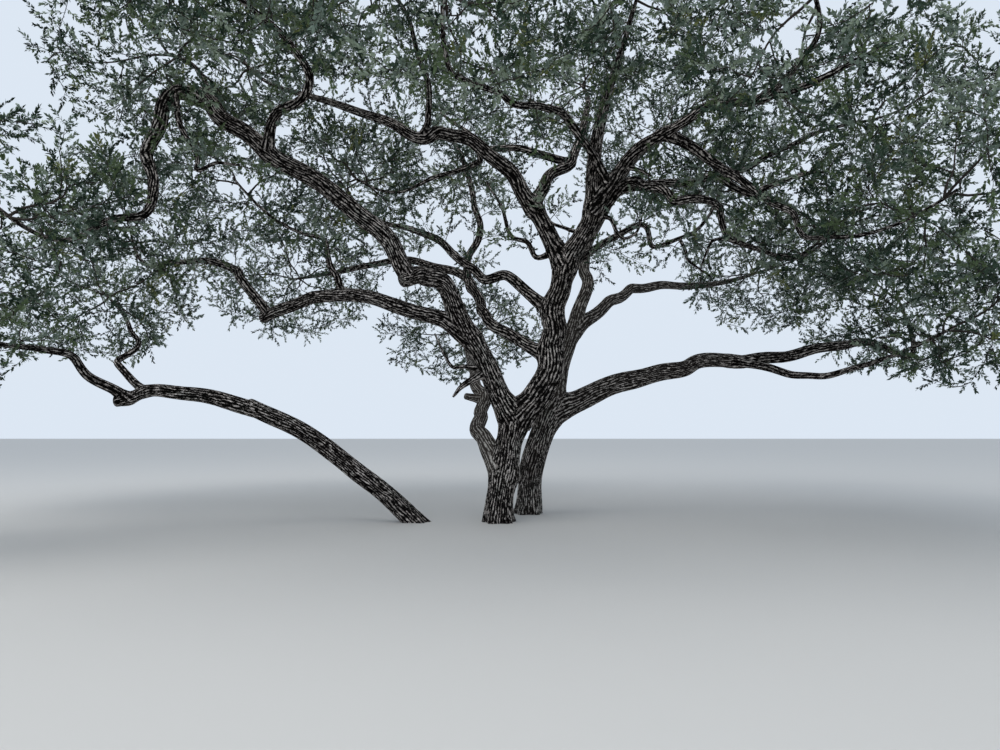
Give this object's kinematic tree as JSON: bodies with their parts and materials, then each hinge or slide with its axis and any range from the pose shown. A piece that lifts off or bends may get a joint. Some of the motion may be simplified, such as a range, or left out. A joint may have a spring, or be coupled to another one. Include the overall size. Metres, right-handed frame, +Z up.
{
  "type": "live oak tree",
  "caption": "Spreading evergreen oak with several trunks from one root, long crooked boughs and an airy, wide, rounded crown of small leaves.",
  "frame": {"origin": "centre of the flat cut under the front trunk, at ground level", "axes": "+Z up, normal to the level ground; +X to the viewer's right in the reference view; +Y away from the viewer"},
  "size_m": [19.3356, 14.3599, 10.6471],
  "materials": {
    "bark": "dark grey-brown bark in deep furrows and small upright plates, matt",
    "foliage": "small leathery leaves, dull olive to grey-green, on thin grey twigs"
  },
  "bodies": {
    "root": {"trunk_front": "bark", "stem_centre": "bark", "stem_right": "bark", "stem_leaning": "bark", "bough_left": "bark", "bough_left_high": "bark", "bough_left_drop": "bark", "bough_left_rise": "bark", "bough_left_low": "bark", "bough_left_low_tip": "bark", "bough_left_inner": "bark", "bough_leaning": "bark", "bough_leaning_left": "bark", "bough_leaning_rise": "bark", "bough_top_left": "bark", "bough_top_mid": "bark", "bough_top_low": "bark", "bough_top_back": "bark", "bough_mid": "bark", "bough_mid_low": "bark", "bough_mid_rise": "bark", "bough_right_high": "bark", "bough_right_mid": "bark", "bough_right_inner": "bark", "bough_right_outer": "bark", "bough_right_thin": "bark", "bough_front": "bark", "bough_right_low": "bark", "bough_right_low_tip": "bark", "bough_right_low_side": "bark", "stem_back": "bark", "bough_right_back": "bark", "bough_back": "bark", "bough_left_crest": "bark", "foliage_left_crest": "foliage", "foliage_left_front": "foliage", "foliage_front_left": "foliage", "foliage_left_back": "foliage", "foliage_left_inner": "foliage", "foliage_low_left_front": "foliage", "foliage_low_left_back": "foliage", "foliage_top_far_left": "foliage", "foliage_top_left": "foliage", "foliage_mid_left": "foliage", "foliage_top_back": "foliage", "foliage_mid_back_left": "foliage", "foliage_back_left": "foliage", "foliage_top_back_left": "foliage", "foliage_top": "foliage", "foliage_front_right": "foliage", "foliage_right_front": "foliage", "foliage_right_inner": "foliage", "foliage_right_high": "foliage", "foliage_right_mid": "foliage", "foliage_front": "foliage", "foliage_right": "foliage", "foliage_low_right": "foliage", "foliage_high_back_right": "foliage", "foliage_back_right": "foliage", "foliage_back": "foliage"}
  },
  "joints": []
}
